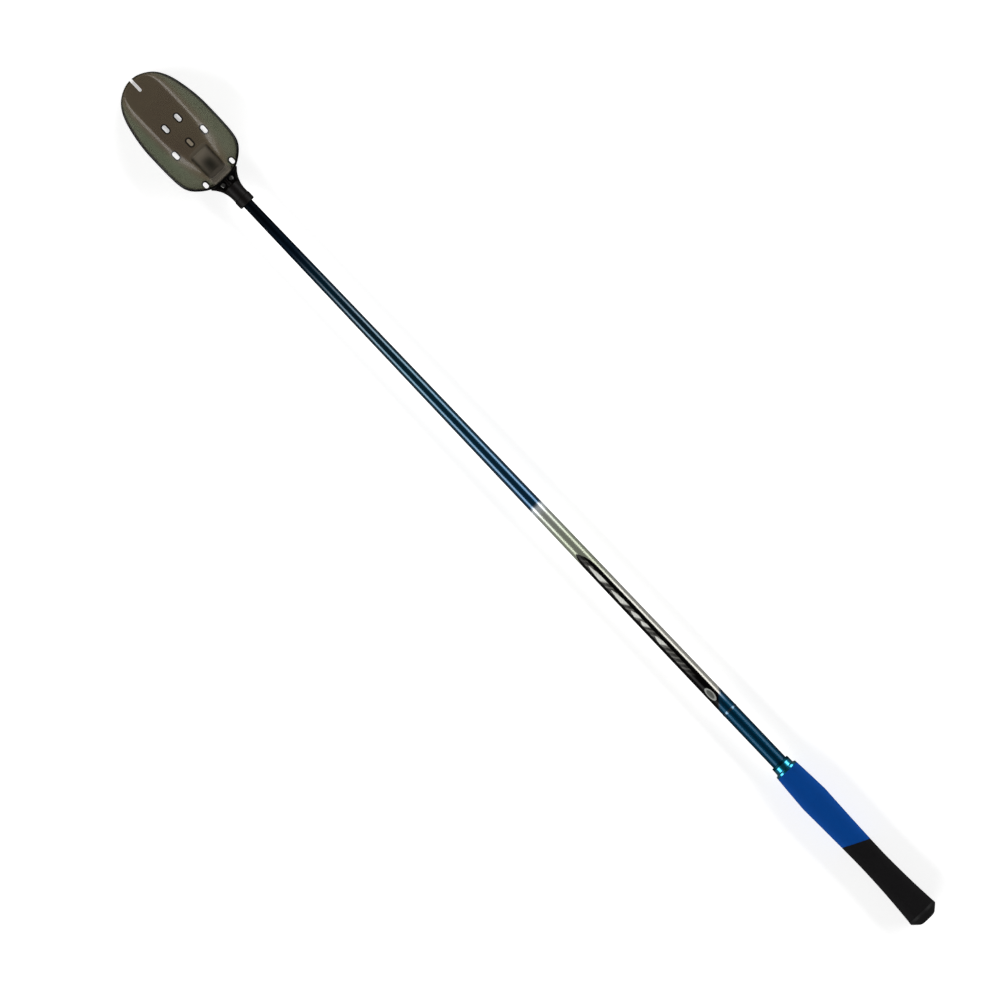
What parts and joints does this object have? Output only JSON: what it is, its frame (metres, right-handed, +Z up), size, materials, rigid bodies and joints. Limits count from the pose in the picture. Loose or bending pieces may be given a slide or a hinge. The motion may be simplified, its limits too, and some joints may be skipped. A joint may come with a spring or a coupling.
{
  "type": "baiting spoon",
  "caption": "Long-handled baiting spoon: a slotted smoked-plastic scoop screwed to a tapered tubular pole, with a two-tone foam grip and a rubber butt cap.",
  "frame": {"origin": "under the middle of the whole object, on the flat surface that the bowl's underside and the butt cap lie on", "axes": "+X runs along the pole from the bowl to the butt, +Z is up out of the bowl's open side, +Y is across the bowl"},
  "size_m": [1.3099, 0.088, 0.0376],
  "materials": {
    "smoked_plastic": "smoked translucent polycarbonate, moulded, slightly worn gloss",
    "black_nylon": "moulded glass-filled nylon, satin",
    "stainless": "plain stainless",
    "lacquered_blank": "clear-lacquered metallic blue and champagne composite tube with a dark wedge graphic",
    "silver_trim": "polished",
    "cyan_anodised": "bright cyan anodised",
    "blue_foam": "fine closed-cell EVA foam, matt",
    "black_foam": "fine closed-cell EVA foam, matt",
    "butt_rubber": "moulded rubber, dull"
  },
  "bodies": {
    "root": {"scoop_bowl": "smoked_plastic", "neck_socket": "black_nylon", "neck_screws": "stainless", "pole_blank": "lacquered_blank", "trim_ring": "silver_trim", "winding_check": "cyan_anodised", "fore_grip": "blue_foam", "rear_grip": "black_foam", "butt_cap": "butt_rubber"}
  },
  "joints": []
}
